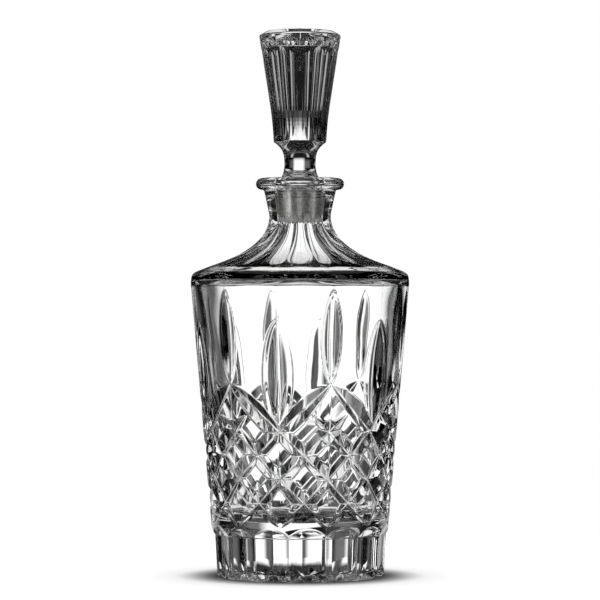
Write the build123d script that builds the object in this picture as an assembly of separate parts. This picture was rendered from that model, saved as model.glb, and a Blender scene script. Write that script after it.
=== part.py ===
from build123d import *
import os
from math import cos, degrees, radians, sin, sqrt, tan

# Cut-glass wine decanter with a lift-out glass stopper. Millimetres, +Z up, origin on the table
# under the axis. Angles are in degrees about +Z and count from -Y towards +X.

# ---- driving dimensions: bottle ---------------------------------------------------------------
FOOT_RADIUS = 42.6              # the cone carried down to the table
CONE_TOP_RADIUS = 55.3          # widest point, at the shoulder edge
CONE_TOP_Z = 148.0
BASE_CORNER = 2.0
SHOULDER_CORNER = (54.9, 152.9) # where wall and slope would meet if the edge were not rounded
SLOPE_TOP = (43.0, 157.65)
SLOPE_CURVE = ((31.9, 162.2), (15.9, 168.0))    # control points from the slope up to the waist
FLUTE_ALLOWANCE = 0.4           # glass left on the slope for the flutes to take off
WAIST = (15.7, 183.5)           # narrowest part of the neck, where the flutes run out
NECK_TOP_RADIUS = 18.3
LIP_RADIUS = 22.3
LIP_BOTTOM_Z = 195.4
LIP_TOP_Z = 201.1
BORE_TOP_RADIUS = 8.75          # tapered bore that holds the stopper
BORE_BOTTOM_RADIUS = 7.3
BORE_BOTTOM_Z = 177.5
FLOOR_Z = 29.0                  # top of the heavy base, inside
INNER_FOOT_RADIUS = 38.6        # inner wall at the floor
FLOOR_CROWN = 1.0               # rise of the inner floor at its middle
INNER_TOP = (49.8, 149.0)       # inner wall under the shoulder
INNER_SLOPE_TOP = (43.0, 152.0)
INNER_CURVE = ((7.3, 169.0), (22.0, 156.0))     # control points from the bore down to the slope
REST_RING_RADIUS = 37.8         # inner edge of the ring that the bottle stands on
REST_RECESS = 1.0
REST_EDGE_FILLET = 0.6
SHOULDER_FILLETS = (6.0, 4.0)
LIP_FILLET = (LIP_TOP_Z - LIP_BOTTOM_Z) / 2 - 0.05
MOUTH_FILLET = 0.5
INNER_SHOULDER_FILLET = 3.0
INNER_FLOOR_FILLET = 9.0

# ---- driving dimensions: cut pattern ----------------------------------------------------------
COLUMN_ANGLE = 17.5             # a column that carries one of the high leaves
COLUMNS = 12                    # high and low leaves take turns
HALF_STEP = 180 / COLUMNS
LATTICE_BOTTOM_Z = 27.0
LATTICE_RISE = 11.83            # rise of a diagonal groove over half a column
LATTICE_ROWS = 4                # rows of full groove above the lowest tips
GROOVE_DEPTH = 2.0
GROOVE_HALF_ANGLE = 60.0        # each facet, from the groove's centre plane
SWAG_END_DEPTH = 0.0            # long grooves run out at the feet of the high leaves
SPUR_SHARE = 0.72               # length of the short grooves above the lattice, in rows
SWAG_CELL_ROWS = 2.5            # height of the cell that a long groove is cut in, in rows
RUN_OUT = -0.12                 # a groove's deepest line where it leaves the surface
CELL_RADII = (30, 70)           # each groove's cell, from inside the wall to outside it
LEAF_HALF_ANGLE = 65.0
LEAF_DEPTH = 2.2
WHEEL_RIM_HEIGHT = 6.0          # height of the cutting wheel's V rim
WHEEL_SWEEP = 1.3               # turn of the wheel, as a share of the turn that spans a leaf
HIGH_LEAF = (98.0, 144.3)       # lower and upper tip
LOW_LEAF = (74.8, 129.5)

FLUTES = 15                     # hollow flutes round the foot, and again up the shoulder
FOOT_FLUTE_ANGLE = 5.3          # centre of one foot flute
FOOT_FLUTES = ((42.4, -1.0), (43.65, 21.5), (49.6, 29.5))
FOOT_FLUTE_HOLLOW = 0.026       # depth of a flute below its chord, as a share of the radius
SHOULDER_FLUTE_ANGLE = 0.7
SHOULDER_FLUTE_HOLLOW = 0.02
SWEEP_CURVE = ((58.0, 154.4), (54.2, 154.0), (14.2, 161.9), WAIST)
SWEEP_SECTIONS = 9

BASE_STAR_RAYS = 30
BASE_STAR_RADIUS = 36.8
BASE_STAR_DEPTH = 2.4
RAY_START_RADIUS = 2.0          # where the rays of a star run out to nothing
RAY_FILL = 0.94                 # width of a ray at its outer end, as a share of its pitch
RAY_OVERLAP = 0.4               # how far a ray's cutter stands out of the face

# ---- driving dimensions: stopper --------------------------------------------------------------
SEAL_WALL = 0.85                # polyethylene sleeve between the glass plug and the bore
RUNNING_GAP = 0.03
SEAL_BOTTOM_Z = 177.9
SEAL_TOP_Z = 196.0
SEAL_GROOVES = (192.2, 193.7, 195.2)    # between the sealing ribs
SEAL_GROOVE_WIDTH = 0.7
SEAL_GROOVE_DEPTH = 0.25
PLUG_BOTTOM_Z = 183.0
PLUG_FILLET = 1.0
SHOULDER_GAP = 0.3              # between the bore and the plug's glass shoulder over the sleeve
COLLAR = (9.2, 201.35)          # widest part of the plug, just clear of the lip
COLLAR_FILLET = 0.3
STEM_FOOT = (9.2, 202.15)
STEM_CURVE = ((8.2, 204.0), (7.95, 206.0))      # control points from the collar up to the waist
STEM_WAIST = (7.95, 209.0)
FLARE_CURVE = ((7.95, 214.5), (9.2, 216.6))     # control points from the waist up to the head
HEAD_BOTTOM = (13.3, 219.5)
HEAD_KNEE = (13.95, 229.0)
HEAD_FILLETS = (120.0, 1.0, 1.0)        # at the knee, the rim and the crown
HEAD_RIM = (20.7, 273.5)
CROWN = (17.0, 275.6)
TOTAL_HEIGHT = 276.6
HEAD_FLUTES = 18
HEAD_FLUTE_ANGLE = -0.5
HEAD_FLUTE_DEPTH = 0.8
HEAD_FLUTE_SECTIONS = (         # height, radius of the hollow, depth below the surface
    (223.5, 5.5, -0.1),
    (227.0, 6.0, 0.4 * HEAD_FLUTE_DEPTH),
    (231.0, 6.7, 0.75 * HEAD_FLUTE_DEPTH),
    (237.0, 7.8, HEAD_FLUTE_DEPTH),
    (266.5, 13.0, HEAD_FLUTE_DEPTH),
    (270.2, 13.5, -0.1),
)
TOP_STAR_RADIUS = 15.5
TOP_STAR_DEPTH = 2.0


# ---- shared geometry ---------------------------------------------------------------------------
def at(radius, angle, z):
    """The point at that radius and height, angle degrees round from -Y towards +X."""
    return Vector(radius * sin(radians(angle)), -radius * cos(radians(angle)), z)


def cone_radius(z):
    return FOOT_RADIUS + (CONE_TOP_RADIUS - FOOT_RADIUS) * z / CONE_TOP_Z


def bore_radius(z):
    taper = (BORE_TOP_RADIUS - BORE_BOTTOM_RADIUS) / (LIP_TOP_Z - BORE_BOTTOM_Z)
    return BORE_BOTTOM_RADIUS + taper * (z - BORE_BOTTOM_Z)


def around(solid, count):
    """Copies of a solid at equal steps about the axis."""
    return [Rot(0, 0, i * 360 / count) * solid for i in range(count)]


def star_cutters(rays, inner, outer, depth, angle):
    """The rays of a star cut. inner and outer are (radius, height) on the face that is cut, and
    depth is how far up, or down if negative, each ray is cut at its outer end."""
    radius, z = outer
    half_width = radius * sin(radians(RAY_FILL * 180 / rays)) * (1 + RAY_OVERLAP / abs(depth))
    mouth = at(radius, angle, z - RAY_OVERLAP * depth / abs(depth))
    side = at(half_width, angle + 90, 0)
    end = make_face(
        Polyline(at(radius, angle, z + depth), mouth + side, mouth - side, close=True)
    )
    return around(loft([Vertex(*at(inner[0], angle, inner[1])), end.face()]), rays)


def turned(*edges):
    """The solid of revolution about +Z of a closed outline, drawn with radius as X and height as Y."""
    return revolve(Plane.XZ * make_face(edges), Axis.Z)


def fluted_ring(radii, count, hollows, angle, ruled=True):
    """A solid with concave sides. radii holds (ridge radius, height) pairs from the bottom up, and
    hollows the depth of the sides below their chords at each, as a share of the radius."""
    half = 180 / count
    sections = []
    for (radius, z), hollow in zip(radii, hollows):
        valley = radius * (cos(radians(half)) - hollow)
        middles = [angle + 2 * half * i for i in range(count)]
        arcs = [
            ThreePointArc(at(radius, m - half, z), at(valley, m, z), at(radius, m + half, z))
            for m in middles
        ]
        sections.append(Face(Wire(arcs)))
    return loft(sections, ruled=ruled)


def trim_to(body, ring):
    """Cuts away what lies outside a fluted ring, between the ring's own heights."""
    low, high = ring.bounding_box().min.Z, ring.bounding_box().max.Z
    sleeve = Pos(0, 0, (low + high) / 2) * Cylinder(2 * CONE_TOP_RADIUS, high - low)
    return body - (sleeve - ring)


# ---- the glass bottle --------------------------------------------------------------------------
def bottle_blank():
    """The plain bottle, hollow inside, before any cutting."""
    underside = FilletPolyline(
        (0, REST_RECESS),
        (REST_RING_RADIUS, REST_RECESS),
        (REST_RING_RADIUS + REST_RECESS, 0),
        (cone_radius(0), 0),
        (CONE_TOP_RADIUS, CONE_TOP_Z),
        SHOULDER_CORNER,
        SLOPE_TOP,
        radius=(0, REST_EDGE_FILLET, BASE_CORNER, *SHOULDER_FILLETS),
    )
    waist = (WAIST[0] + FLUTE_ALLOWANCE, WAIST[1])
    neck_top = (NECK_TOP_RADIUS, LIP_BOTTOM_Z)
    bore_bottom = (BORE_BOTTOM_RADIUS, BORE_BOTTOM_Z)
    slope = Bezier(SLOPE_TOP, *SLOPE_CURVE, waist)
    neck = Polyline(waist, WAIST, neck_top)
    lip = FilletPolyline(
        neck_top,
        (LIP_RADIUS, LIP_BOTTOM_Z),
        (LIP_RADIUS, LIP_TOP_Z),
        (BORE_TOP_RADIUS, LIP_TOP_Z),
        bore_bottom,
        radius=(LIP_FILLET, LIP_FILLET, MOUTH_FILLET),
    )
    inner_slope = Bezier(bore_bottom, *INNER_CURVE, INNER_SLOPE_TOP)
    inside = FilletPolyline(
        INNER_SLOPE_TOP,
        INNER_TOP,
        (INNER_FOOT_RADIUS, FLOOR_Z),
        (0, FLOOR_Z + FLOOR_CROWN),
        radius=(INNER_SHOULDER_FILLET, INNER_FLOOR_FILLET),
    )
    axis = Line((0, FLOOR_Z + FLOOR_CROWN), (0, REST_RECESS))
    return turned(underside, slope, neck, lip, inner_slope, inside, axis)


def leaf_cutters(leaf, angle):
    """One leaf all round: a wheel with a V rim, laid against the cone so that it cuts tip to tip."""
    low, high = (at(cone_radius(z), angle, z) for z in leaf)
    chord = high - low
    tangent = at(1, angle + 90, 0)
    normal = tangent.cross(chord).normalized()
    wheel_radius = chord.length**2 / (8 * LEAF_DEPTH) + LEAF_DEPTH / 2
    hub = (low + high) * 0.5 + normal * (wheel_radius - LEAF_DEPTH)
    shoulder = hub - normal * (wheel_radius - WHEEL_RIM_HEIGHT)
    side = tangent * (WHEEL_RIM_HEIGHT * tan(radians(LEAF_HALF_ANGLE)))
    section = make_face(
        Polyline(hub - normal * wheel_radius, shoulder + side, shoulder - side, close=True)
    )
    arc = degrees(WHEEL_SWEEP * chord.length / wheel_radius)
    axle = Axis(hub, tangent)
    return around(revolve(section, axle, arc).rotate(axle, -arc / 2), COLUMNS // 2)


def node(half_columns, row, depth=GROOVE_DEPTH):
    """A crossing of the lattice: half columns round from a high leaf, rows up from the lowest
    tips, and how far the crossing lies below the surface."""
    z = LATTICE_BOTTOM_Z + row * LATTICE_RISE
    return at(cone_radius(z) - depth, COLUMN_ANGLE + half_columns * HALF_STEP, z)


def mitre(half_columns, sideways, upwards):
    """Direction of the line where the facets of two crossing grooves meet beside a node."""
    angle = COLUMN_ANGLE + half_columns * HALF_STEP
    rise = 1 / (sqrt(2) * tan(radians(GROOVE_HALF_ANGLE)))
    return at(rise, angle, 0) + at(sideways, angle + 90, 0) + Vector(0, 0, upwards)


def groove_cutter(columns, rows, start, end, mitres):
    """A V groove inside one cell of the lattice, from start to end along its deepest line. Each
    of the two facets holds that line and one of the mitre directions."""
    near, far = CELL_RADII
    outline = [
        at(r, COLUMN_ANGLE + c * HALF_STEP, LATTICE_BOTTOM_Z + rows[0] * LATTICE_RISE)
        for c, r in ((columns[0], near), (columns[0], far), (columns[1], far), (columns[1], near))
    ]
    cutter = extrude(make_face(Polyline(*outline, close=True)), (rows[1] - rows[0]) * LATTICE_RISE)
    radial = Vector(start.X, start.Y, 0)
    for direction in mitres:
        normal = (end - start).cross(direction)
        if normal.dot(radial) < 0:
            normal = -normal
        cutter = split(cutter, bisect_by=Plane(start, z_dir=normal), keep=Keep.TOP)
    return cutter


def lattice_cutters():
    """The crossed diagonal grooves, with pointed tips below, and spurs and long swags above."""
    cutters = []
    for lean in (-1, 1):
        for row in range(1, LATTICE_ROWS):
            c = row % 2
            start, end = node(c, row), node(c + lean, row + 1)
            mitres = mitre(c, lean, 0), mitre(c + lean, -lean, 0)
            cells = sorted((c, c + lean)), (row, row + 1)
            cutters += around(groove_cutter(*cells, start, end, mitres), COLUMNS)
        tip_cell = sorted((1, 1 + lean)), (0, 1)
        tip = groove_cutter(
            *tip_cell, node(1, 1), node(1 + lean, 0, RUN_OUT), (mitre(1, lean, 0), mitre(1, 0, -1))
        )
        cutters += around(tip, COLUMNS)
        spur = groove_cutter(
            sorted((0, lean)),
            (LATTICE_ROWS, LATTICE_ROWS + 1),
            node(0, LATTICE_ROWS),
            node(SPUR_SHARE * lean, LATTICE_ROWS + SPUR_SHARE, RUN_OUT),
            (mitre(0, lean, 0), mitre(0, 0, 1)),
        )
        swag = groove_cutter(
            sorted((2, 2 + 2 * lean)),
            (LATTICE_ROWS, LATTICE_ROWS + SWAG_CELL_ROWS),
            node(2, LATTICE_ROWS),
            node(2 + 2 * lean, LATTICE_ROWS + 2, SWAG_END_DEPTH),
            (mitre(2, lean, 0), mitre(2, 0, 1)),
        )
        cutters += around(spur, COLUMNS // 2) + around(swag, COLUMNS // 2)
    return cutters


def decanter_body():
    body = bottle_blank()
    foot_hollows = [FOOT_FLUTE_HOLLOW] * len(FOOT_FLUTES)
    body = trim_to(body, fluted_ring(FOOT_FLUTES, FLUTES, foot_hollows, FOOT_FLUTE_ANGLE))
    curve = Bezier(*SWEEP_CURVE)
    sweep = [(p.X, p.Y) for p in (curve @ (i / SWEEP_SECTIONS) for i in range(SWEEP_SECTIONS + 1))]
    round_again = cos(radians(180 / FLUTES)) - 1
    hollows = [SHOULDER_FLUTE_HOLLOW] * SWEEP_SECTIONS + [round_again]
    body = trim_to(body, fluted_ring(sweep, FLUTES, hollows, SHOULDER_FLUTE_ANGLE, ruled=False))
    cutters = leaf_cutters(HIGH_LEAF, COLUMN_ANGLE)
    cutters += leaf_cutters(LOW_LEAF, COLUMN_ANGLE + 2 * HALF_STEP)
    cutters += lattice_cutters()
    middle, end = ((r, REST_RECESS) for r in (RAY_START_RADIUS, BASE_STAR_RADIUS))
    cutters += star_cutters(BASE_STAR_RAYS, middle, end, BASE_STAR_DEPTH, 0)
    return body - cutters


# ---- the stopper -------------------------------------------------------------------------------
def seal_radius(z):
    return bore_radius(z) - RUNNING_GAP


def plug_radius(z):
    return seal_radius(z) - SEAL_WALL - RUNNING_GAP


def stopper_seal():
    """A thin tapered sleeve between plug and bore, grooved near its top to leave sealing ribs."""
    ends = (SEAL_BOTTOM_Z, SEAL_TOP_Z)
    outside = [(seal_radius(z), z) for z in ends]
    inside = [(seal_radius(z) - SEAL_WALL, z) for z in reversed(ends)]
    sleeve = turned(Polyline(*outside, *inside, close=True))
    for z in SEAL_GROOVES:
        radius = seal_radius(z)
        root = Cylinder(radius - SEAL_GROOVE_DEPTH, SEAL_GROOVE_WIDTH)
        groove = Cylinder(radius + SEAL_WALL, SEAL_GROOVE_WIDTH) - root
        sleeve -= Pos(0, 0, z) * groove
    return sleeve


def head_radius(z):
    (r0, z0), (r1, z1) = HEAD_KNEE, HEAD_RIM
    return r0 + (r1 - r0) * (z - z0) / (z1 - z0)


def stopper():
    """Solid glass: tapered plug, waisted stem and a flaring fluted head with a star on top."""
    shoulder_z = SEAL_TOP_Z + RUNNING_GAP
    plug = FilletPolyline(
        (0, PLUG_BOTTOM_Z),
        (plug_radius(PLUG_BOTTOM_Z), PLUG_BOTTOM_Z),
        (plug_radius(shoulder_z), shoulder_z),
        (bore_radius(shoulder_z) - SHOULDER_GAP, shoulder_z),
        (bore_radius(COLLAR[1]) - SHOULDER_GAP, COLLAR[1]),
        COLLAR,
        STEM_FOOT,
        radius=(PLUG_FILLET, 0, 0, 0, COLLAR_FILLET),
    )
    stem = Bezier(STEM_FOOT, *STEM_CURVE, STEM_WAIST)
    flare = Bezier(STEM_WAIST, *FLARE_CURVE, HEAD_BOTTOM)
    head = FilletPolyline(
        HEAD_BOTTOM, HEAD_KNEE, HEAD_RIM, CROWN, (0, TOTAL_HEIGHT), radius=HEAD_FILLETS
    )
    blank = turned(plug, stem, flare, head, Line((0, TOTAL_HEIGHT), (0, PLUG_BOTTOM_Z)))
    generator = Vector(HEAD_RIM[0] - HEAD_KNEE[0], 0, HEAD_RIM[1] - HEAD_KNEE[1]).normalized()
    normal = Vector(generator.Z, 0, -generator.X)
    sections = []
    for z, hollow, depth in HEAD_FLUTE_SECTIONS:
        centre = Vector(head_radius(z), 0, z) + normal * (hollow - depth)
        sections.append((Plane(centre, z_dir=generator) * Circle(hollow)).face())
    flute = Rot(0, 0, HEAD_FLUTE_ANGLE - 90) * loft(sections, ruled=True)
    middle, end = (RAY_START_RADIUS, TOTAL_HEIGHT), (TOP_STAR_RADIUS, CROWN[1])
    star = star_cutters(HEAD_FLUTES, middle, end, -TOP_STAR_DEPTH, HEAD_FLUTE_ANGLE)
    return blank - (around(flute, HEAD_FLUTES) + star)


if __name__ == "__main__":
    os.makedirs("parts", exist_ok=True)
    pieces = {
        "decanter_body": decanter_body(),
        "stopper_seal": stopper_seal(),
        "stopper": stopper(),
    }
    for name, piece in pieces.items():
        export_step(piece, f"parts/{name}.step")
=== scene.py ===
from collections import namedtuple
from math import acos, ceil, cos, pi, radians, sin, sqrt, tan

import bpy
import numpy as np
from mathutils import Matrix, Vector


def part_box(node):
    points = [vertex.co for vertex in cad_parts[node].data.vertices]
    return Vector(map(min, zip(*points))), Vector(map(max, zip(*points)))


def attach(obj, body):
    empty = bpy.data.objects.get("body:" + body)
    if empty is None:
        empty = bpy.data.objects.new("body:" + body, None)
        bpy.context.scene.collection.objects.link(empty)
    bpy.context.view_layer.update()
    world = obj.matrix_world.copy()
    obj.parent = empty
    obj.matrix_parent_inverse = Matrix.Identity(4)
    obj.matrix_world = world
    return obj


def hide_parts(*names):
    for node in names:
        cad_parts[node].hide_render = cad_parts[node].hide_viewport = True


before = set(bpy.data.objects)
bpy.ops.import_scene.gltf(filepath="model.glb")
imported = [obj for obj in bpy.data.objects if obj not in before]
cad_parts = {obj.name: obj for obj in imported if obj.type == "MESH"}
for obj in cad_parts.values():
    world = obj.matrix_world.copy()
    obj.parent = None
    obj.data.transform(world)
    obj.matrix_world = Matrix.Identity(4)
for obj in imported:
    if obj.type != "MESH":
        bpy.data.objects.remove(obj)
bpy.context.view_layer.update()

# Cut-glass wine decanter. The glass pieces are rebuilt here as fine meshes whose cut edges are softly
# rounded, as fire-polished glass is. Shapes are worked out in millimetres and written in metres.
# Angles are in degrees about +Z and count from -Y towards +X.

scene = bpy.context.scene
MM = 0.001

# ---- sizes of the bottle, as in the CAD model ----------------------------------------------------
_, body_high = (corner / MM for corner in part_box("decanter_body"))
seal_low, seal_high = (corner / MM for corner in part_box("stopper_seal"))
plug_low, head_high = (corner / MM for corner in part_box("stopper"))

FOOT_RADIUS = 42.6                      # the cone carried down to the table
CONE_TOP_RADIUS = 55.3
CONE_TOP_Z = 148.0
BASE_CORNER = 2.0
SHOULDER_CORNER = (54.9, 152.9)         # where wall and slope would meet if the edge were not rounded
SHOULDER_FILLETS = (6.0, 4.0)
SLOPE_TOP = (43.0, 157.65)
SLOPE_CURVE = ((31.9, 162.2), (15.9, 168.0))        # control points from the slope up to the waist
FLUTE_ALLOWANCE = 0.4                   # glass left on slope and neck for the cuts to take off
WAIST = (15.7, 183.5)
NECK_TOP_RADIUS = 18.3
NECK_FILLET = 1.0
LIP_RADIUS = 22.3
LIP_TOP_Z = body_high.z
LIP_BOTTOM_Z = LIP_TOP_Z - 5.7
LIP_FILLET = (LIP_TOP_Z - LIP_BOTTOM_Z) / 2 - 0.05
RIM_MIDDLE_RADIUS = 12.0                # on top of the lip, where outside and inside meet
BORE_TOP_RADIUS = 8.75
MOUTH_FILLET = 0.5
BORE_BOTTOM = (7.3, 177.5)
INNER_CURVE = ((7.3, 169.0), (22.0, 156.0))         # control points from the bore down to the slope
INNER_SLOPE_TOP = (43.0, 152.0)
INNER_TOP = (49.8, 149.0)
INNER_SHOULDER_FILLET = 3.0
INNER_FOOT_RADIUS = 38.6
INNER_FLOOR_FILLET = 9.0
FLOOR_Z = 29.0
FLOOR_CROWN = 1.0                       # rise of the inner floor at its middle
REST_RING_RADIUS = 37.8
REST_RECESS = 1.0
REST_FILLETS = (0.6, 0.5)

# the cut pattern: grooves cross on a lattice of 12 columns, and leaves stand above it
COLUMN_ANGLE = 17.5
HALF_STEP = 15.0
LATTICE_BOTTOM_Z = 27.0
LATTICE_RISE = 11.83
LATTICE_ROWS = 4
GROOVE_DEPTH = 2.0
GROOVE_HALF_ANGLE = 60.0
GROOVE_OVERRUN = 4.5                    # how far a groove runs on past its ends before it fades
GROOVE_FADE = 0.6                       # loss of depth per millimetre beyond that
SPUR_SHARE = 0.72                       # length of the short grooves above the lattice, in rows
RUN_OUT = -0.12                         # a groove's deepest line where it leaves the surface
HIGH_LEAF = (98.0, 144.3)               # lower and upper tip
LOW_LEAF = (74.8, 129.5)
HIGH_LEAF_WIDTHS = (4.3, 5.3)           # half the width of the leaf, and of its sunk border
LOW_LEAF_WIDTHS = (5.0, 8.0)
HIGH_LEAF_SLOPES = (12.0, 38.0)         # slope beside the middle line and at the edge
LOW_LEAF_SLOPES = (20.0, 36.0)
LEAF_LINE = 0.45                        # softness of the middle line
BORDER_DEPTH = 0.35
BORDER_SLOPE = 28.0
BORDER_POINTEDNESS = 0.6                # 0.5 is an ellipse, 1 a pointed arch

FLUTES = 15
FOOT_FLUTE_ANGLE = 5.3
FOOT_FLUTES = ((42.4, -1.0), (43.65, 21.5), (49.6, 29.5))       # ridge radius and height
FOOT_FLUTE_HOLLOW = 0.026               # depth below the chord, as a share of the radius
FOOT_ARCH_LEAN = 0.84                   # depth square to the flutes' leaning tops, per depth inwards
SHOULDER_FLUTE_ANGLE = 0.7
SHOULDER_FLUTE_HOLLOW = 0.02
FLUTE_FADE = (176.0, 183.5)             # heights between which the shoulder flutes run out
SWEEP_CURVE = ((58.0, 154.4), (54.2, 154.0), (14.2, 161.9), WAIST)
SWEEP_START = (70.0, 155.0)             # outside the glass, as is the end of the swept curve
SWEEP_END_RADIUS = 30.0
NECK_CUT_FILLET = 1.2
LEAST_SWEPT_RADIUS = 15.0
BASE_STAR_RAYS = 30
BASE_STAR_RADIUS = 36.8
BASE_STAR_DEPTH = 2.4
RAY_START_RADIUS = 2.0                  # where the rays of a star run out to nothing
RAY_FILL = 0.94                         # width of a ray at its outer end, as a share of its pitch
RAY_END_WALL = (0.94, 0.34)             # direction across the steep wall that stops a ray

# the inside was never cut: waves left by blowing, as (share, turns round, height, start)
BLOWING_WAVES = ((0.5, 3, 11.0, 0.0), (0.35, 7, -7.3, 1.0), (0.3, 12, 5.1, 2.0))
RING_WAVE = (0.25, 3.9, 2.0, 2)         # share, height, swing and turns of the waves one above another
WAVE_DEPTH = 0.10
CALM_RADII = (20.0, 35.0)               # the waves grow from nothing between these radii

# the sleeve and the stopper
SEAL_WALL = 0.85
SEAL_SQUEEZE = 0.05                     # how far the soft sleeve is pressed into the bore's polish
SEAL_GROOVES = (192.2, 193.7, 195.2)
SEAL_GROOVE_WIDTH = 0.7
SEAL_GROOVE_DEPTH = 0.25
SEAL_GROOVE_SECTION = ((-0.5, 0), (-0.25, 1), (0.25, 1), (0.5, 0))      # share of width, of depth
SEAL_EDGE_FILLET = 0.2
RUNNING_GAP = 0.03
SHOULDER_GAP = 0.3                      # between the bore and the glass shoulder over the sleeve
PLUG_FILLET = 1.0
COLLAR = (9.2, 201.35)
COLLAR_FILLET = 0.3
STEM_FOOT = (9.2, 202.15)
STEM_CURVE = ((8.2, 204.0), (7.95, 206.0))          # control points from the collar up to the waist
STEM_WAIST = (7.95, 209.0)
FLARE_CURVE = ((7.95, 214.5), (9.2, 216.6))         # control points from the waist up to the head
HEAD_BOTTOM = (13.3, 219.5)
HEAD_KNEE = (13.95, 229.0)
HEAD_RIM = (20.7, 273.5)
CROWN = (17.0, 275.6)
HEAD_FILLETS = (120.0, 1.0, 1.0)        # at the knee, the rim and the crown
TOTAL_HEIGHT = head_high.z
HEAD_FLUTES = 18
HEAD_FLUTE_ANGLE = -0.5
HEAD_FLUTE_SECTIONS = (                 # height, radius of the hollow, depth below the surface
    (200.0, 5.5, -4.0),
    (223.5, 5.5, -0.08),
    (227.0, 6.0, 0.32),
    (231.0, 6.7, 0.6),
    (237.0, 7.8, 0.8),
    (266.5, 13.0, 0.8),
    (270.2, 13.5, -0.08),
    (290.0, 13.5, -4.0),
)
TOP_STAR_RADIUS = 15.5
TOP_STAR_DEPTH = 2.0

# ---- rounding of the cuts, as the width in depth over which two faces blend ------------------------
GROOVE_BLEND = 0.28
VALLEY_BLEND = 0.22
LEAF_EDGE_BLEND = 0.25
BORDER_BLEND = 0.12
RIDGE_BLEND = 0.3
HEAD_RIDGE_BLEND = 0.2
HEAD_EDGE_BLEND = 0.25
STAR_BLEND = 0.15
UNCUT = -9.0                            # depth that stands for being far outside every cut

# ---- fineness of the meshes -----------------------------------------------------------------------
OUTER_COLUMNS = 720                     # columns all round; the cuts repeat three times
SECTOR = 3
INNER_COLUMNS = 240
SEAL_COLUMNS = 240
HEAD_COLUMNS = 360
NARROWEST_COLUMN = 0.12
CARVING_STEPS = 14                      # each halves the uncertainty of a cut's depth
TOUCHING = 1e-4
DEEPEST_CUT = 6.0
DEEPEST_HEAD_CUT = 2.5
WALL_ZONE = (16.0, 146.2)               # heights of the part of the wall that the lattice is cut in
WALL_LEAST_RADIUS = 30.0
CONE_ROWS = (                           # height, and the rows' spacing above it
    (18.0, 0.5),
    (LATTICE_BOTTOM_Z - 2 * LATTICE_RISE / 30, LATTICE_RISE / 30),
    (LATTICE_BOTTOM_Z + 6.2 * LATTICE_RISE, 0.55),
    (142.0, 0.5),
)
HEAD_CUT_Z = 218.0                      # the head's cuts lie above this

# ---- materials ------------------------------------------------------------------------------------
GLASS_IOR = 1.52
GLASS_TINTS_AND_PAINTED_SHADE = {
    "bottle_glass": ((0.985, 0.99, 0.99), (0.995, 0.995, 0.99)),
    # the stopper's grey is darker than the bottle's tint; it is painted shade that makes the solid
    # stopper look darker
    "stopper_glass": ((0.86, 0.865, 0.87), (0.89, 0.89, 0.885)),
}
TINT_SCALE = 25                         # features per metre, here and in the other scales
HAZE_SCALE = 120
MOST_HAZE = 0.03
POLISH_WAVE_SCALE = 110
POLISH_WAVE = 0.00002
SATIN_TINTS = ((0.56, 0.56, 0.55), (0.64, 0.64, 0.63))
SATIN_SHEEN = 0.6                       # the metallic share, which gives the pearly gleam
SATIN_MOTTLE_SCALE = 350
SATIN_ROUGHNESS = (0.26, 0.31)
SATIN_ROUGHNESS_SCALE = 900
SATIN_GRAIN_SCALE = 1200
SATIN_GRAIN = 0.0000008
FINE_DETAIL = 4.0

# ---- studio: upright panels of light, a number of them evenly round the object ---------------------
# Azimuths count from +Y, behind the object, towards +X. The edge is the soft border of a panel, dark
# the light between the panels, and the elevations are where the light begins, is full, begins to
# fade and is gone, all in degrees.
Panels = namedtuple("Panels", "count azimuth half_width edge light dark elevations")
BACKDROPS = Panels(4, 3.0, 8, 10, 1.25, 0.0, (-13, -10, 4, 12.5))
SIDE_PANELS = Panels(4, 0.0, 24, 12, 0.13, 0.0, (-5, -3.6, 4, 9))
LOW_PANELS = Panels(4, 45, 12, 8, 0.9, 0.0, (-19, -16.5, -11, -8))
SLOTS = Panels(8, 22.5, 3, 2, 0.5, 0.012, (11, 14, 44, 47))
KEY_STRIP = Panels(1, -114, 7, 4, 2.2, 0.0, (-8, -5, 14, 20))
CORNER_STRIPS = Panels(4, 45, 4, 3, 0.7, 0.0, (8, 12, 40, 45))
SOFTBOX_ELEVATIONS = (51, 56)
SOFTBOX_THROUGH = 0.03                  # seen through the glass, mirrored by it, and lighting it
SOFTBOX_MIRRORED = 0.35
SOFTBOX_DIRECT = 4.2
BACKDROP_DIRECT = 0.6
ROOM_MIRRORED = 0.01

# the floor in metres: distances from the axis between which its light changes
FLOOR_REACH = 0.42
FLOOR_ROUGHNESS = 0.6
PAINTED_CONTACT_SHADOW = (0.040, 0.066, 0.04, 0.93)          # painted contact shadow: from, to, and the paper's grey at each
NEAR_WEDGES = Panels(4, 45, 12, 8, 0.95, 0.03, None)
FAR_WEDGES = Panels(8, 3.0, 12, 8, 1.15, 0.05, None)
WEDGE_CHANGE = (0.22, 0.34)
WHITE_FOR_CAMERA = (0.12, 0.40)
WHITE_THROUGH_GLASS = (0.075, 0.11)
WHITE_FOR_LIGHTING = (0.34, 0.42)

# ---- camera, in metres ----------------------------------------------------------------------------
CAMERA_PLACE = (0, -1.52, 0.132)
CAMERA_AIM = (0, 0, 0.1395)
CAMERA_LENS = 180
CAMERA_SENSOR = 36
MOST_BOUNCES = 24
MOST_GLASS_BOUNCES = 20
MOST_CLEAR_BOUNCES = 12


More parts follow.
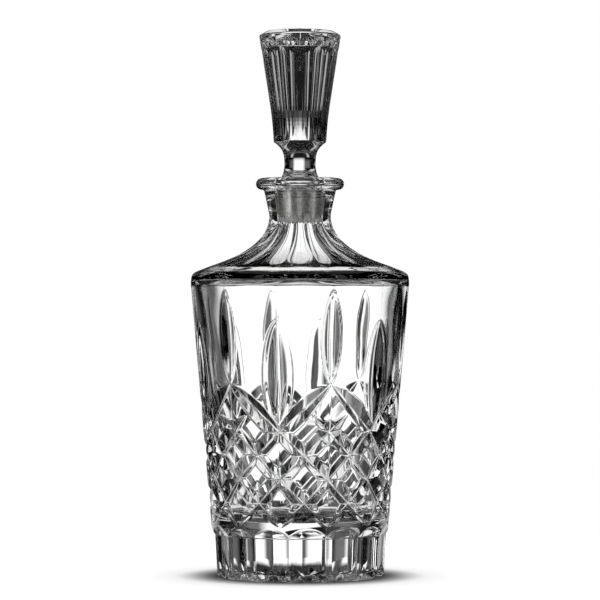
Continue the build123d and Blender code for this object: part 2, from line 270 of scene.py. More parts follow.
# ---- outlines -------------------------------------------------------------------------------------
def rounded(corners, arc_step=0.3):
    """A polyline through corners (radius, height, fillet, step), evenly spaced along each straight
    run at the step of the corner it starts from, and along each fillet."""
    points = [np.array(c[:2], float) for c in corners]
    arcs = []
    for i, corner in enumerate(corners):
        if i in (0, len(corners) - 1) or corner[2] == 0:
            arcs.append([points[i]])
            continue
        back, ahead = (points[j] - points[i] for j in (i - 1, i + 1))
        back, ahead = back / np.hypot(*back), ahead / np.hypot(*ahead)
        turn = pi - acos(np.clip(back @ ahead, -1, 1))
        start, end = (points[i] + d * corner[2] * tan(turn / 2) for d in (back, ahead))
        middle = (back + ahead) / np.hypot(*(back + ahead))
        hub = points[i] + middle * corner[2] / cos(turn / 2)
        count = max(3, ceil(corner[2] * turn / arc_step))
        shares = np.linspace(0, 1, count + 1)[:, None]
        chord = (start - hub) * np.sin((1 - shares) * turn) + (end - hub) * np.sin(shares * turn)
        arcs.append(list(hub + chord / sin(turn)))
    outline = []
    for i, corner in enumerate(corners[:-1]):
        start, end = arcs[i][-1], arcs[i + 1][0]
        count = max(1, ceil(np.hypot(*(end - start)) / corner[3] - 1e-6))
        shares = np.linspace(0, 1, count + 1)[1:, None]
        outline += arcs[i] + list(start + (end - start) * shares)[:-1]
    return outline + arcs[-1]


def bezier(points, count):
    """count + 1 points along a cubic curve."""
    t = np.linspace(0, 1, count + 1)[:, None]
    a, b, c, d = (np.array(p, float) for p in points)
    return list(a * (1 - t) ** 3 + 3 * b * t * (1 - t) ** 2 + 3 * c * t**2 * (1 - t) + d * t**3)


def normals(outline):
    """Outward normals of an outline that runs out along the underside and up the outside."""
    tangent = np.gradient(outline, axis=0)
    tangent /= np.hypot(tangent[:, 0], tangent[:, 1])[:, None]
    return np.stack([tangent[:, 1], -tangent[:, 0]], axis=1)


# ---- cuts: each returns how far points lie inside the cut, in millimetres, or below zero outside ----
def smooth_max(a, b, blend):
    near = np.maximum(blend - np.abs(a - b), 0) / blend
    return np.maximum(a, b) + near * near * blend / 4


def smooth_min(a, b, blend):
    return -smooth_max(-a, -b, blend)


def folded(angle, middle, period):
    """Angles measured from the nearest repeat of middle."""
    return (angle - middle + period / 2) % period - period / 2


def cone_radius(z):
    return FOOT_RADIUS + (CONE_TOP_RADIUS - FOOT_RADIUS) * z / CONE_TOP_Z


def place(radius, angle, z):
    """Cartesian point with X sideways and Y outward at angle zero."""
    return np.array([radius * sin(radians(angle)), radius * cos(radians(angle)), z])


def plane_cut(points, origin, first, second):
    """Height of points above the plane through origin along two directions, outward positive."""
    normal = np.cross(first, second)
    normal /= sqrt(normal @ normal)
    if normal @ (origin * (1, 1, 0)) < 0:
        normal = -normal
    return sum(n * (p - o) for n, p, o in zip(normal, points, origin))


def groove(points, start, end):
    """A straight V groove along its deepest line, its two facets equally steep."""
    along = (end - start) / sqrt((end - start) @ (end - start))
    outward = (start + end) * (1, 1, 0)
    outward -= along * (outward @ along)
    outward /= sqrt(outward @ outward)
    side = np.cross(along, outward)
    slope = 1 / tan(radians(GROOVE_HALF_ANGLE))
    facets = [plane_cut(points, start, along, side + outward * slope * s) for s in (-1, 1)]
    return smooth_min(*facets, VALLEY_BLEND)


def clipped(cut, points, start, end):
    """Keeps a groove to its own stretch, and lets it fade out past its ends."""
    along = end - start
    length = sqrt(along @ along)
    t = sum(a * (p - s) for a, p, s in zip(along / length, points, start))
    over = np.maximum(np.maximum(-t, t - length) - GROOVE_OVERRUN, 0)
    return cut - over * GROOVE_FADE


def crossing(half_columns, row, depth=GROOVE_DEPTH):
    """A crossing of the lattice: half columns round from a high leaf, and rows up."""
    z = LATTICE_BOTTOM_Z + row * LATTICE_RISE
    return place(cone_radius(z) - depth, half_columns * HALF_STEP, z)


def lattice_lines():
    """The deepest lines of the crossed grooves, their tips below, and the spurs and long swags
    above, over the stretch that one side of a high leaf needs."""
    lines = []
    for lean in (-1, 1):
        for row in range(1, LATTICE_ROWS):
            columns = (c for c in range(-2, 5) if c % 2 == row % 2)
            lines += [(crossing(c, row), crossing(c + lean, row + 1)) for c in columns]
        lines += [(crossing(c, 1), crossing(c + lean, 0, RUN_OUT)) for c in (-1, 1, 3)]
        spur_end = crossing(SPUR_SHARE * lean, LATTICE_ROWS + SPUR_SHARE, RUN_OUT)
        lines.append((crossing(0, LATTICE_ROWS), spur_end))
        lines.append((crossing(2, LATTICE_ROWS), crossing(2 + 2 * lean, LATTICE_ROWS + 2, 0)))
    return lines


def lattice_cut(radius, angle, z):
    """All the grooves. The pattern is the same both sides of each high leaf, so only one side of it
    is worked out."""
    turned = np.radians(np.abs(folded(angle, COLUMN_ANGLE, 4 * HALF_STEP)))
    points = radius * np.sin(turned), radius * np.cos(turned), z
    cut = np.full(radius.shape, UNCUT)
    for start, end in lattice_lines():
        cut = smooth_max(cut, clipped(groove(points, start, end), points, start, end), GROOVE_BLEND)
    return cut


def leaf_cut(side, radius, z, leaf, half_width, slopes):
    """A leaf cut tip to tip by a wheel whose rim is hollow: its section steepens from the first
    slope, beside its middle line, to the second at its edge."""
    inner, outer = (tan(radians(slope)) for slope in slopes)
    hollow = (outer - inner) / (2 * half_width)
    depth = inner * half_width + hollow * half_width**2
    (r0, z0), (r1, z1) = ((cone_radius(h), h) for h in leaf)
    length = np.hypot(r1 - r0, z1 - z0)
    ahead = (r1 - r0) / length, (z1 - z0) / length
    wheel = length**2 / (8 * depth) + depth / 2
    hub_out = (r0 + r1) / 2 + ahead[1] * (wheel - depth)
    hub_z = (z0 + z1) / 2 - ahead[0] * (wheel - depth)
    from_axle = np.hypot(radius - hub_out, z - hub_z)
    flank = inner * (np.sqrt(side**2 + LEAF_LINE**2) - LEAF_LINE) + hollow * side**2
    return (wheel - from_axle - flank) * cos(radians(slopes[1]))


def border_cut(side, radius, z, leaf, half_width):
    """The shallow sunk border round a leaf, with a bevelled edge and a blunt arched tip."""
    along = np.clip((2 * z - leaf[0] - leaf[1]) / (leaf[1] - leaf[0]), -1, 1)
    outline = half_width * (1 - along**2) ** BORDER_POINTEDNESS
    below = cone_radius(z) - radius
    steep = radians(BORDER_SLOPE)
    bevel = (outline - np.abs(side)) * sin(steep) - below * cos(steep)
    return smooth_min(bevel, BORDER_DEPTH - below, BORDER_BLEND)


def leaves_cut(radius, angle, z):
    cut = np.full(radius.shape, UNCUT)
    rows = (
        (HIGH_LEAF, COLUMN_ANGLE, HIGH_LEAF_WIDTHS, HIGH_LEAF_SLOPES),
        (LOW_LEAF, COLUMN_ANGLE + 2 * HALF_STEP, LOW_LEAF_WIDTHS, LOW_LEAF_SLOPES),
    )
    for leaf, middle, (width, border), slopes in rows:
        side = radius * np.sin(np.radians(folded(angle, middle, 4 * HALF_STEP)))
        cut = smooth_max(cut, border_cut(side, radius, z, leaf, border), BORDER_BLEND)
        cut = smooth_max(cut, leaf_cut(side, radius, z, leaf, width, slopes), LEAF_EDGE_BLEND)
    return cut


def flute_share(angle, middle, count, hollow, blend):
    """Radius of a ring of hollow flutes, as a share of the radius at its ridges."""
    half = radians(180 / count)
    arc = (sin(half) ** 2 + hollow**2) / (2 * hollow)
    hub = cos(half) - hollow + arc
    turned = np.abs(np.radians(folded(angle, middle, 360 / count)))
    own, other = (
        hub * np.cos(t) - np.sqrt(arc**2 - (hub * np.sin(t)) ** 2) for t in (turned, 2 * half - turned)
    )
    return smooth_min(own, other, blend)


def foot_cut(radius, angle, z):
    ridge = np.interp(z, [h for _, h in FOOT_FLUTES], [r for r, _ in FOOT_FLUTES])
    ridge += np.maximum(z - FOOT_FLUTES[-1][1], 0)
    share = flute_share(angle, FOOT_FLUTE_ANGLE, FLUTES, FOOT_FLUTE_HOLLOW, RIDGE_BLEND / FOOT_RADIUS)
    slope = np.where(z > FOOT_FLUTES[1][1], FOOT_ARCH_LEAN, 1.0)
    return (radius - ridge * share) * slope


def curve_distance(radius, z, curve):
    """Distance of points from a curve, positive on its right-hand side."""
    best = np.full(radius.shape, np.inf)
    signed = np.zeros(radius.shape)
    for (r0, z0), (r1, z1) in zip(curve[:-1], curve[1:]):
        length = np.hypot(r1 - r0, z1 - z0)
        along = (r1 - r0) / length, (z1 - z0) / length
        dr, dz = radius - r0, z - z0
        t = np.clip(dr * along[0] + dz * along[1], 0, length)
        distance = np.hypot(dr - t * along[0], dz - t * along[1])
        side = np.sign(dr * along[1] - dz * along[0])
        nearer = distance < best
        signed = np.where(nearer, distance * side, signed)
        best = np.minimum(best, distance)
    return signed


def neck_curve():
    """The ridges of the shoulder flutes, up the plain neck and out under the lip."""
    neck = rounded([
        (*WAIST, 0, 2),
        (NECK_TOP_RADIUS, LIP_BOTTOM_Z, NECK_CUT_FILLET, 2),
        (SWEEP_END_RADIUS, LIP_BOTTOM_Z, 0, 6),
    ])
    return [SWEEP_START] + bezier(SWEEP_CURVE, 40) + neck[1:]


def shoulder_cut(radius, angle, z):
    blend = RIDGE_BLEND / np.maximum(radius, LEAST_SWEPT_RADIUS)
    share = flute_share(angle, SHOULDER_FLUTE_ANGLE, FLUTES, SHOULDER_FLUTE_HOLLOW, blend)
    faded = np.clip((z - FLUTE_FADE[0]) / (FLUTE_FADE[1] - FLUTE_FADE[0]), 0, 1)
    share += (1 - share) * faded
    return curve_distance(radius / share, z, neck_curve())


def star_cut(radius, angle, z, rays, middle, inner, outer, depth):
    """V rays from a point near the axis, each deepest at its outer end, where a steep wall stops it.
    inner and outer are (radius, height) on the face that is cut."""
    turned = np.radians(folded(angle, middle, 360 / rays))
    side, out = np.abs(radius * np.sin(turned)), radius * np.cos(turned)
    start = np.array([0, inner[0], inner[1]])
    bottom = np.array([0, outer[0], outer[1] + depth])
    corner = np.array([outer[0] * sin(radians(RAY_FILL * 180 / rays)), outer[0], outer[1]])
    normal = np.cross(bottom - start, corner - start)
    normal /= sqrt(normal @ normal)
    if normal[2] * depth > 0:
        normal = -normal
    ray = normal[0] * side + normal[1] * (out - start[1]) + normal[2] * (z - start[2])
    wall = (outer[0] - out) * RAY_END_WALL[0] - np.abs(z - outer[1]) * RAY_END_WALL[1]
    return smooth_min(ray, wall, STAR_BLEND)


def base_star_cut(radius, angle, z):
    inner, outer = ((r, REST_RECESS) for r in (RAY_START_RADIUS, BASE_STAR_RADIUS))
    return star_cut(radius, angle, z, BASE_STAR_RAYS, 0, inner, outer, BASE_STAR_DEPTH)


def top_star_cut(radius, angle, z):
    inner, outer = (RAY_START_RADIUS, TOTAL_HEIGHT), (TOP_STAR_RADIUS, CROWN[1])
    return star_cut(radius, angle, z, HEAD_FLUTES, HEAD_FLUTE_ANGLE, inner, outer, -TOP_STAR_DEPTH)


def head_radius(z):
    (r0, z0), (r1, z1) = HEAD_KNEE, HEAD_RIM
    return r0 + (r1 - r0) * (z - z0) / (z1 - z0)


def head_flute_cut(radius, angle, z):
    heights, hollows, depths = zip(*HEAD_FLUTE_SECTIONS)
    hollow, depth = (np.interp(z, heights, values) for values in (hollows, depths))
    turned = np.abs(np.radians(folded(angle, HEAD_FLUTE_ANGLE, 360 / HEAD_FLUTES)))
    hub = head_radius(z) + hollow - depth
    own, other = (
        hollow - np.hypot(radius * np.cos(t) - hub, radius * np.sin(t))
        for t in (turned, radians(360 / HEAD_FLUTES) - turned)
    )
    return smooth_max(own, other, HEAD_RIDGE_BLEND)


# ---- meshes ---------------------------------------------------------------------------------------
def carve(outline, angles, cuts, deepest=DEEPEST_CUT):
    """Moves each point of an outline, turned to each angle, in along its normal to where it is on
    the surface of the blank and of every cut. Returns radius and height, a row per outline point."""
    radius, z = (outline[:, i, None] + 0 * angles for i in (0, 1))
    normal = normals(outline)
    out_r, out_z = (normal[:, i, None] for i in (0, 1))
    angle = angles + 0 * radius

    def depth_of(d):
        r, h = radius - out_r * d, z - out_z * d
        total = -d
        for cut, blend in cuts:
            total = smooth_max(total, cut(np.maximum(r, 0), angle, h), blend)
        return total

    low, high = np.zeros(radius.shape), np.full(radius.shape, deepest)
    for _ in range(CARVING_STEPS):
        middle = (low + high) / 2
        outside = depth_of(middle) > 0
        low, high = np.where(outside, middle, low), np.where(outside, high, middle)
    uncut = depth_of(np.full(radius.shape, TOUCHING)) <= TOUCHING
    found = np.where(uncut, 0, (low + high) / 2)
    return radius - out_r * found, z - out_z * found


def ring_points(radius, z, angles):
    turned = np.radians(angles)
    return np.stack([radius * np.sin(turned), -radius * np.cos(turned), z + 0 * turned], axis=-1)


def thinned(ring, radius):
    """Fewer points on a ring near the axis, where they crowd."""
    while len(ring) % 3 == 0 and radius * 2 * pi / len(ring) < NARROWEST_COLUMN:
        ring = ring[::3]
    return ring


def rings_from(radius, z, angles):
    """A ring of points for each row of radii and heights, or one point where it is on the axis."""
    rings = []
    for r, h in zip(radius, z):
        ring = ring_points(r, h, angles)
        rings.append(ring[:1] * (0, 0, 1) if r.max() < 1e-6 else thinned(ring, r.max()))
    return rings


def faces_between(a, n, b, m):
    """Faces between a ring of n points from index a and the next, of m points from index b. Where
    one ring has three times the points of the other, each long edge meets three short ones."""
    i = np.arange(min(n, m) if 1 < min(n, m) < max(n, m) else max(n, m))
    if n == 1:
        block = [0 * i + a, b + (i + 1) % m, b + i]
    elif m == 1:
        block = [a + i, a + (i + 1) % n, 0 * i + b]
    elif n == m:
        block = [a + i, a + (i + 1) % n, b + (i + 1) % n, b + i]
    elif n > m:
        block = [a + 3 * i + k for k in range(3)] + [a + (3 * i + 3) % n, b + (i + 1) % m, b + i]
    else:
        block = [a + i, a + (i + 1) % n] + [b + (3 * i + 3 - k) % m for k in range(4)]
    return np.stack(block, axis=1)


def lathe_mesh(name, rings, hollow=False):
    """A closed mesh from rings of points. Its ends are single points on the axis, or in a hollow
    piece the last ring joins the first."""
    starts = np.cumsum([0] + [len(r) for r in rings])
    blocks = []
    for i in range(len(rings) if hollow else len(rings) - 1):
        j = (i + 1) % len(rings)
        blocks.append(faces_between(starts[i], len(rings[i]), starts[j], len(rings[j])))
    points = np.concatenate(rings)
    faces = np.concatenate([block.ravel() for block in blocks])
    sizes = np.concatenate([np.full(len(block), block.shape[1]) for block in blocks])
    mesh = bpy.data.meshes.new(name)
    mesh.vertices.add(len(points))
    mesh.vertices.foreach_set("co", (points * MM).astype(np.float32).ravel())
    mesh.loops.add(len(faces))
    mesh.loops.foreach_set("vertex_index", faces.astype(np.int32))
    mesh.polygons.add(len(sizes))
    mesh.polygons.foreach_set("loop_start", (np.cumsum(sizes) - sizes).astype(np.int32))
    mesh.polygons.foreach_set("use_smooth", np.ones(len(sizes), bool))
    mesh.update(calc_edges=True)
    mesh.validate()
    piece = bpy.data.objects.new(name, mesh)
    scene.collection.objects.link(piece)
    return piece


# ---- the bottle -----------------------------------------------------------------------------------
def bottle_outside():
    foot = [
        (0, REST_RECESS, 0, 1.0),
        (BASE_STAR_RADIUS - 2.0, REST_RECESS, 0, 0.25),
        (REST_RING_RADIUS, REST_RECESS, REST_FILLETS[0], 0.4),
        (REST_RING_RADIUS + REST_RECESS, 0, REST_FILLETS[1], 0.6),
        (cone_radius(0), 0, BASE_CORNER, 0.8),
    ]
    cone = [(cone_radius(z), z, 0, spacing) for z, spacing in CONE_ROWS]
    shoulder = [
        (CONE_TOP_RADIUS, CONE_TOP_Z, SHOULDER_FILLETS[0], 0.5),
        (*SHOULDER_CORNER, SHOULDER_FILLETS[1], 0.5),
        (*SLOPE_TOP, 0, 0.5),
    ]
    waist = (WAIST[0] + FLUTE_ALLOWANCE, WAIST[1])
    neck = [
        (*waist, 0, 0.5),
        (NECK_TOP_RADIUS + FLUTE_ALLOWANCE, LIP_BOTTOM_Z, NECK_FILLET, 0.4),
        (LIP_RADIUS, LIP_BOTTOM_Z, LIP_FILLET, 0.3),
        (LIP_RADIUS, LIP_TOP_Z, LIP_FILLET, 0.8),
        (RIM_MIDDLE_RADIUS, LIP_TOP_Z, 0, 0.8),
    ]
    slope = bezier((SLOPE_TOP, *SLOPE_CURVE, waist), 90)
    return np.array(rounded(foot + cone + shoulder) + slope[1:] + rounded(neck)[1:])


def bottle_inside():
    bore = [
        (RIM_MIDDLE_RADIUS, LIP_TOP_Z, 0, 0.8),
        (BORE_TOP_RADIUS, LIP_TOP_Z, MOUTH_FILLET, 1.0),
        (*BORE_BOTTOM, 0, 1.0),
    ]
    wall = [
        (*INNER_SLOPE_TOP, 0, 1.0),
        (*INNER_TOP, INNER_SHOULDER_FILLET, 1.2),
        (INNER_FOOT_RADIUS, FLOOR_Z, INNER_FLOOR_FILLET, 1.5),
        (0, FLOOR_Z + FLOOR_CROWN, 0, 1.0),
    ]
    slope = bezier((BORE_BOTTOM, *INNER_CURVE, INNER_SLOPE_TOP), 50)
    return np.array(rounded(bore, 0.5)[1:-1] + slope + rounded(wall, 0.5)[1:])


def blown(outline, angles):
    """Radius and height of the inside, with the faint waves that blowing leaves."""
    radius, z = outline[:, 0, None], outline[:, 1, None]
    turned = np.radians(angles)
    calm = np.clip((radius - CALM_RADII[0]) / (CALM_RADII[1] - CALM_RADII[0]), 0, 1)
    waves = sum(share * np.sin(n * turned + z / rise + start) for share, n, rise, start in BLOWING_WAVES)
    share, rise, swing, n = RING_WAVE
    waves = waves + share * np.sin(z / rise + swing * np.sin(n * turned))
    normal = normals(outline)
    shift = WAVE_DEPTH * calm * waves
    return radius - normal[:, :1] * shift, z - normal[:, 1:] * shift


def make_bottle():
    outline = bottle_outside()
    sector = np.arange(OUTER_COLUMNS // SECTOR) * 360 / OUTER_COLUMNS
    under = outline[:, 1] < WALL_ZONE[0]
    wall = ~under & (outline[:, 1] < WALL_ZONE[1]) & (outline[:, 0] > WALL_LEAST_RADIUS)
    foot = (foot_cut, RIDGE_BLEND)
    zones = (
        (under, [(base_star_cut, STAR_BLEND), foot]),
        (wall, [foot, (leaves_cut, BORDER_BLEND), (lattice_cut, GROOVE_BLEND)]),
        (~(under | wall), [(shoulder_cut, RIDGE_BLEND)]),
    )
    radius = np.empty((len(outline), len(sector)))
    z = np.empty_like(radius)
    for zone, cuts in zones:
        rows = np.flatnonzero(zone)
        grown = np.concatenate([rows - 1, rows, rows + 1])
        grown = np.unique(np.clip(grown, 0, len(outline) - 1))
        r, h = carve(outline[grown], sector, cuts)
        keep = np.isin(grown, rows)
        radius[rows], z[rows] = r[keep], h[keep]
    radius, z = (np.tile(x, (1, SECTOR)) for x in (radius, z))
    rings = rings_from(radius, z, np.arange(OUTER_COLUMNS) * 360 / OUTER_COLUMNS)
    inner_angles = np.arange(INNER_COLUMNS) * 360 / INNER_COLUMNS
    rings += rings_from(*blown(bottle_inside(), inner_angles), inner_angles)
    return lathe_mesh("bottle", rings)


# ---- the sleeve and the stopper -------------------------------------------------------------------
def bore_radius(z):
    (r0, z0), (r1, z1) = BORE_BOTTOM, (BORE_TOP_RADIUS, LIP_TOP_Z)
    return r0 + (r1 - r0) * (z - z0) / (z1 - z0)


def plug_radius(z):
    return bore_radius(z) - SEAL_WALL - 2 * RUNNING_GAP


def make_seal():
    """The sleeve, pressed against the bore, with three fine grooves between its sealing ribs."""
    low, high = seal_low.z, seal_high.z
    outside = [(bore_radius(low) + SEAL_SQUEEZE, low, SEAL_EDGE_FILLET, 0.5)]
    for groove_z in SEAL_GROOVES:
        for offset, depth in SEAL_GROOVE_SECTION:
            z = groove_z + offset * SEAL_GROOVE_WIDTH
            radius = bore_radius(z) + SEAL_SQUEEZE - depth * SEAL_GROOVE_DEPTH
            outside.append((radius, z, 0.05, 0.1))
    outside.append((bore_radius(high) + SEAL_SQUEEZE, high, SEAL_EDGE_FILLET, 0.2))
    inside = [(bore_radius(z) - SEAL_WALL, z, SEAL_EDGE_FILLET, 0.5) for z in (high, low)]
    middle = (bore_radius(low) - SEAL_WALL / 2, low, 0, 0.2)
    outline = rounded([middle] + outside + inside + [middle], 0.1)[:-1]
    radius, z = np.array(outline).T[:, :, None] + np.zeros(1)
    angles = np.arange(SEAL_COLUMNS) * 360 / SEAL_COLUMNS
    return lathe_mesh("seal_sleeve", rings_from(radius, z, angles), hollow=True)


def stopper_outline():
    shoulder_z = seal_high.z + RUNNING_GAP
    plug = [
        (0, plug_low.z, 0, 0.6),
        (plug_radius(plug_low.z), plug_low.z, PLUG_FILLET, 1.0),
        (plug_radius(shoulder_z), shoulder_z, 0.1, 0.3),
        (bore_radius(shoulder_z) - SHOULDER_GAP, shoulder_z, 0.2, 0.4),
        (bore_radius(COLLAR[1]) - SHOULDER_GAP, COLLAR[1], 0.1, 0.3),
        (*COLLAR, COLLAR_FILLET, 0.2),
        (*STEM_FOOT, 0, 0.3),
    ]
    stem = bezier((STEM_FOOT, *STEM_CURVE, STEM_WAIST), 16)
    flare = bezier((STEM_WAIST, *FLARE_CURVE, HEAD_BOTTOM), 30)
    head = [
        (*HEAD_BOTTOM, 0, 0.45),
        (*HEAD_KNEE, HEAD_FILLETS[0], 0.45),
        (*HEAD_RIM, HEAD_FILLETS[1], 0.4),
        (*CROWN, HEAD_FILLETS[2], 0.3),
        (0, TOTAL_HEIGHT, 0, 0.4),
    ]
    return np.array(rounded(plug, 0.15) + stem[1:] + flare[1:] + rounded(head)[1:])


def make_stopper():
    outline = stopper_outline()
    angles = np.arange(HEAD_COLUMNS) * 360 / HEAD_COLUMNS
    period = 3 * HEAD_COLUMNS // HEAD_FLUTES
    upper = outline[:, 1] > HEAD_CUT_Z
    flat = upper & (outline[:, 1] > HEAD_RIM[1] + 1.2)
    radius, z = (outline[:, i, None] + np.zeros(period) for i in (0, 1))
    zones = ((upper & ~flat, (head_flute_cut, HEAD_EDGE_BLEND)), (flat, (top_star_cut, STAR_BLEND)))
    for zone, cut in zones:
        rows = np.flatnonzero(zone)
        radius[rows], z[rows] = carve(outline[rows], angles[:period], [cut], DEEPEST_HEAD_CUT)
    radius, z = (np.tile(x, (1, HEAD_COLUMNS // period)) for x in (radius, z))
    return lathe_mesh("stopper_glass", rings_from(radius, z, angles))


# ---- shader nodes ---------------------------------------------------------------------------------
def plug_in(tree, socket, value):
    if isinstance(value, (int, float)):
        socket.default_value = value
    else:
        tree.links.new(value, socket)


def combined(tree, operation, *values):
    """The result of an arithmetic operation, by Blender's name for it."""
    n = tree.nodes.new("ShaderNodeMath")
    n.operation = operation
    for socket, value in zip(n.inputs, values):
        plug_in(tree, socket, value)
    return n.outputs[0]


def added(tree, first, *others):
    for other in others:
        first = combined(tree, "ADD", first, other)
    return first


def times(tree, first, second):
    return combined(tree, "MULTIPLY", first, second)


def ramp(tree, value, low, high, at_low=0, at_high=1):
    """A smooth step between two values."""
    n = tree.nodes.new("ShaderNodeMapRange")
    n.interpolation_type = "SMOOTHSTEP"
    for socket, v in zip(n.inputs, (value, low, high, at_low, at_high)):
        plug_in(tree, socket, v)
    return n.outputs[0]


def mix_values(tree, share, first, second):
    n = tree.nodes.new("ShaderNodeMix")
    for socket, value in zip((n.inputs[0], n.inputs[2], n.inputs[3]), (share, first, second)):
        plug_in(tree, socket, value)
    return n.outputs[0]


def mix_colors(tree, share, first, second):
    n = tree.nodes.new("ShaderNodeMix")
    n.data_type = "RGBA"
    tree.links.new(share, n.inputs[0])
    sockets = [socket for socket in n.inputs if socket.type == "RGBA"]
    for socket, color in zip(sockets, (first, second)):
        socket.default_value = (*color, 1)
    return next(socket for socket in n.outputs if socket.type == "RGBA")


def noise(tree, scale, detail=2.0):
    """Soft cloudy values about a half, with features 1 / scale metres across."""
    n = tree.nodes.new("ShaderNodeTexNoise")
    n.inputs["Scale"].default_value = scale
    n.inputs["Detail"].default_value = detail
    tree.links.new(tree.nodes.new("ShaderNodeTexCoord").outputs["Object"], n.inputs["Vector"])
    return n.outputs["Fac"]


def bump(tree, height, distance, shader):
    n = tree.nodes.new("ShaderNodeBump")
    n.inputs["Distance"].default_value = distance
    n.inputs["Strength"].default_value = 1.0
    tree.links.new(height, n.inputs["Height"])
    tree.links.new(n.outputs[0], shader.inputs["Normal"])


# ---- materials ------------------------------------------------------------------------------------
def new_material(name):
    material = bpy.data.materials.new(name)
    material.use_nodes = True
    return material, material.node_tree, material.node_tree.nodes["Principled BSDF"]


def glass(name):
    """Polished lead crystal: clear, with a faint uneven tint, slow waves in the surface from the
    acid polish, and a trace of handling haze. In the stopper the tint is a darker grey, which is painted
    shade."""
    material, tree, shader = new_material(name)
    shader.inputs["IOR"].default_value = GLASS_IOR
    shader.inputs["Transmission Weight"].default_value = 1.0
    cloudy = ramp(tree, noise(tree, TINT_SCALE), 0.35, 0.65)
    tree.links.new(mix_colors(tree, cloudy, *GLASS_TINTS_AND_PAINTED_SHADE[name]), shader.inputs["Base Color"])
    haze = ramp(tree, noise(tree, HAZE_SCALE, FINE_DETAIL), 0.5, 0.75, 0.0, MOST_HAZE)
    tree.links.new(haze, shader.inputs["Roughness"])
    bump(tree, noise(tree, POLISH_WAVE_SCALE), POLISH_WAVE, shader)
    return material


def satin(name):
    """Frosted polyethylene, faintly mottled and grained."""
    material, tree, shader = new_material(name)
    shader.inputs["Metallic"].default_value = SATIN_SHEEN
    mottle = ramp(tree, noise(tree, SATIN_MOTTLE_SCALE), 0.3, 0.7)
    tree.links.new(mix_colors(tree, mottle, *SATIN_TINTS), shader.inputs["Base Color"])
    uneven = noise(tree, SATIN_ROUGHNESS_SCALE, FINE_DETAIL)
    tree.links.new(ramp(tree, uneven, 0.3, 0.7, *SATIN_ROUGHNESS), shader.inputs["Roughness"])
    bump(tree, noise(tree, SATIN_GRAIN_SCALE), SATIN_GRAIN, shader)
    return material


# ---- studio ---------------------------------------------------------------------------------------
def ray_is(tree, kind):
    """One for rays of a kind, such as Camera, and zero for all others."""
    return tree.nodes.new("ShaderNodeLightPath").outputs[f"Is {kind} Ray"]


def direction(tree, vector):
    """Azimuth in radians from +Y towards +X, and height, of a vector."""
    n = tree.nodes.new("ShaderNodeSeparateXYZ")
    tree.links.new(vector, n.inputs[0])
    return combined(tree, "ARCTAN2", n.outputs[0], n.outputs[1]), n.outputs[2]


def round_about(tree, azimuth, panels):
    """The light of a set of panels by azimuth alone."""
    from_first = combined(tree, "SUBTRACT", azimuth, radians(panels.azimuth))
    cosine = combined(tree, "COSINE", times(tree, from_first, panels.count))
    dark_from, light_from = (
        cos(panels.count * radians(panels.half_width + beyond)) for beyond in (panels.edge, 0)
    )
    return ramp(tree, cosine, dark_from, light_from, panels.dark, panels.light)


def panel_light(tree, azimuth, height, panels):
    """The light of a set of panels, which rises and falls between their elevations."""
    start, low, high, end = (sin(radians(e)) for e in panels.elevations)
    band = times(tree, ramp(tree, height, start, low), ramp(tree, height, high, end, 1, 0))
    return times(tree, round_about(tree, azimuth, panels), band)


def make_world():
    """White backdrops on four sides of a dark studio, a softbox overhead and slim strip lights, with
    their own strengths for rays that come through the glass, are mirrored by it or light it. The
    room that the camera sees is plain white."""
    world = bpy.data.worlds.new("studio")
    scene.world = world
    world.use_nodes = True
    tree = world.node_tree
    tree.nodes.clear()
    looking = direction(tree, tree.nodes.new("ShaderNodeTexCoord").outputs["Generated"])
    backdrops, sides, key, low, slots, strips = (
        panel_light(tree, *looking, panels)
        for panels in (BACKDROPS, SIDE_PANELS, KEY_STRIP, LOW_PANELS, SLOTS, CORNER_STRIPS)
    )
    softbox = ramp(tree, looking[1], *(sin(radians(e)) for e in SOFTBOX_ELEVATIONS))
    walls = combined(tree, "MAXIMUM", backdrops, sides)
    through = added(tree, walls, key, low, slots, times(tree, softbox, SOFTBOX_THROUGH))
    mirrored = added(tree, strips, times(tree, softbox, SOFTBOX_MIRRORED), ROOM_MIRRORED)
    lit_by_walls = times(tree, backdrops, BACKDROP_DIRECT)
    light = added(tree, lit_by_walls, times(tree, softbox, SOFTBOX_DIRECT))
    for kind, seen in (("Glossy", mirrored), ("Transmission", through), ("Camera", 1.0)):
        light = mix_values(tree, ray_is(tree, kind), light, seen)
    sky = tree.nodes.new("ShaderNodeBackground")
    sky.inputs["Color"].default_value = (1, 1, 1, 1)
    tree.links.new(light, sky.inputs["Strength"])
    tree.links.new(sky.outputs[0], tree.nodes.new("ShaderNodeOutputWorld").inputs[0])


def floor_glow(tree, azimuth, away):
    """The floor's own light: white wedges seen through the glass, and plain white for the camera."""
    wedges = (round_about(tree, azimuth, panels) for panels in (NEAR_WEDGES, FAR_WEDGES))
    star = mix_values(tree, ramp(tree, away, *WEDGE_CHANGE), *wedges)
    glow = tree.nodes.new("ShaderNodeEmission")
    tree.links.new(mix_values(tree, ray_is(tree, "Camera"), star, 1.0), glow.inputs["Strength"])
    return glow.outputs[0]


def floor_paper(tree, away):
    """White paper, with a painted contact shadow: its colour goes dark near the foot."""
    paper = tree.nodes["Principled BSDF"]
    paper.inputs["Roughness"].default_value = FLOOR_ROUGHNESS
    painted_shadow_color = tree.nodes.new("ShaderNodeCombineColor")
    # painted shadow: the paper's colour darkens in towards the axis, under and round the foot
    painted_shadow_grey = ramp(tree, away, *PAINTED_CONTACT_SHADOW)
    for socket in painted_shadow_color.inputs:
        tree.links.new(painted_shadow_grey, socket)
    tree.links.new(painted_shadow_color.outputs[0], paper.inputs["Base Color"])
    return paper.outputs[0]


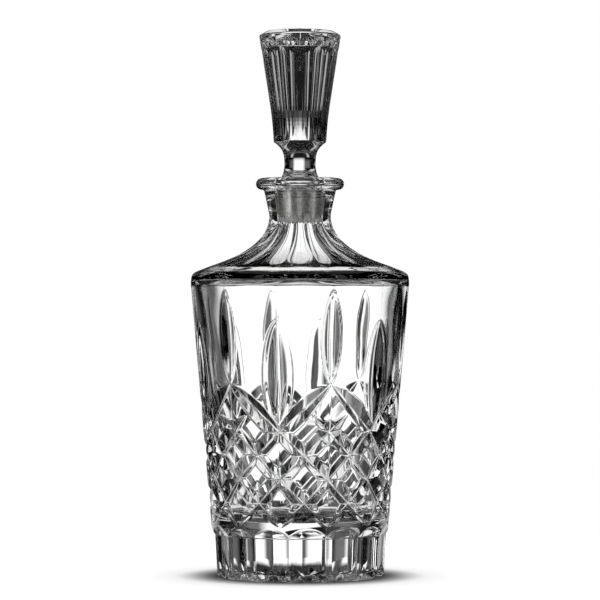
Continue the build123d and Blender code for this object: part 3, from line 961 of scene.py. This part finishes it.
def make_floor():
    """A paper floor that glows where it is away from the foot, so that it runs out into the white
    of the room. The glow begins at a distance of its own for each kind of ray."""
    mesh = bpy.data.meshes.new("floor")
    corners = [(x * FLOOR_REACH, y * FLOOR_REACH, 0) for x, y in ((-1, -1), (1, -1), (1, 1), (-1, 1))]
    mesh.from_pydata(corners, [], [(0, 1, 2, 3)])
    floor = bpy.data.objects.new("floor", mesh)
    scene.collection.objects.link(floor)
    material, tree, _ = new_material("floor")
    mesh.materials.append(material)
    spot = tree.nodes.new("ShaderNodeTexCoord").outputs["Object"]
    azimuth, _ = direction(tree, spot)
    length = tree.nodes.new("ShaderNodeVectorMath")
    length.operation = "LENGTH"
    tree.links.new(spot, length.inputs[0])
    away = length.outputs["Value"]
    glowing = mix_values(tree, ray_is(tree, "Glossy"), ramp(tree, away, *WHITE_FOR_LIGHTING), 1.0)
    for kind, distances in (("Transmission", WHITE_THROUGH_GLASS), ("Camera", WHITE_FOR_CAMERA)):
        glowing = mix_values(tree, ray_is(tree, kind), glowing, ramp(tree, away, *distances))
    both = tree.nodes.new("ShaderNodeMixShader")
    shaders = glowing, floor_paper(tree, away), floor_glow(tree, azimuth, away)
    for socket, value in zip(both.inputs, shaders):
        tree.links.new(value, socket)
    tree.links.new(both.outputs[0], tree.nodes["Material Output"].inputs[0])


def make_camera():
    camera = bpy.data.cameras.new("camera")
    camera.lens = CAMERA_LENS
    camera.sensor_width = CAMERA_SENSOR
    holder = bpy.data.objects.new("camera", camera)
    scene.collection.objects.link(holder)
    holder.location = CAMERA_PLACE
    looking = Vector(CAMERA_AIM) - holder.location
    holder.rotation_euler = looking.to_track_quat("-Z", "Y").to_euler()
    scene.camera = holder


# ---- assembly -------------------------------------------------------------------------------------
bottle, seal, stopper = make_bottle(), make_seal(), make_stopper()
for piece, material, stands_for, body, slot in (
    (bottle, glass("bottle_glass"), "decanter_body", "decanter", "body_glass"),
    (seal, satin("satin_sleeve"), "stopper_seal", "seal", "seal_sleeve"),
    (stopper, glass("stopper_glass"), "stopper", "stopper", "stopper_glass"),
):
    piece.data.materials.append(material)
    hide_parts(stands_for)
    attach(piece, body)

make_world()
make_floor()
make_camera()
scene.view_settings.view_transform = "Standard"
scene.cycles.max_bounces = MOST_BOUNCES
scene.cycles.transmission_bounces = MOST_GLASS_BOUNCES
scene.cycles.transparent_max_bounces = MOST_CLEAR_BOUNCES
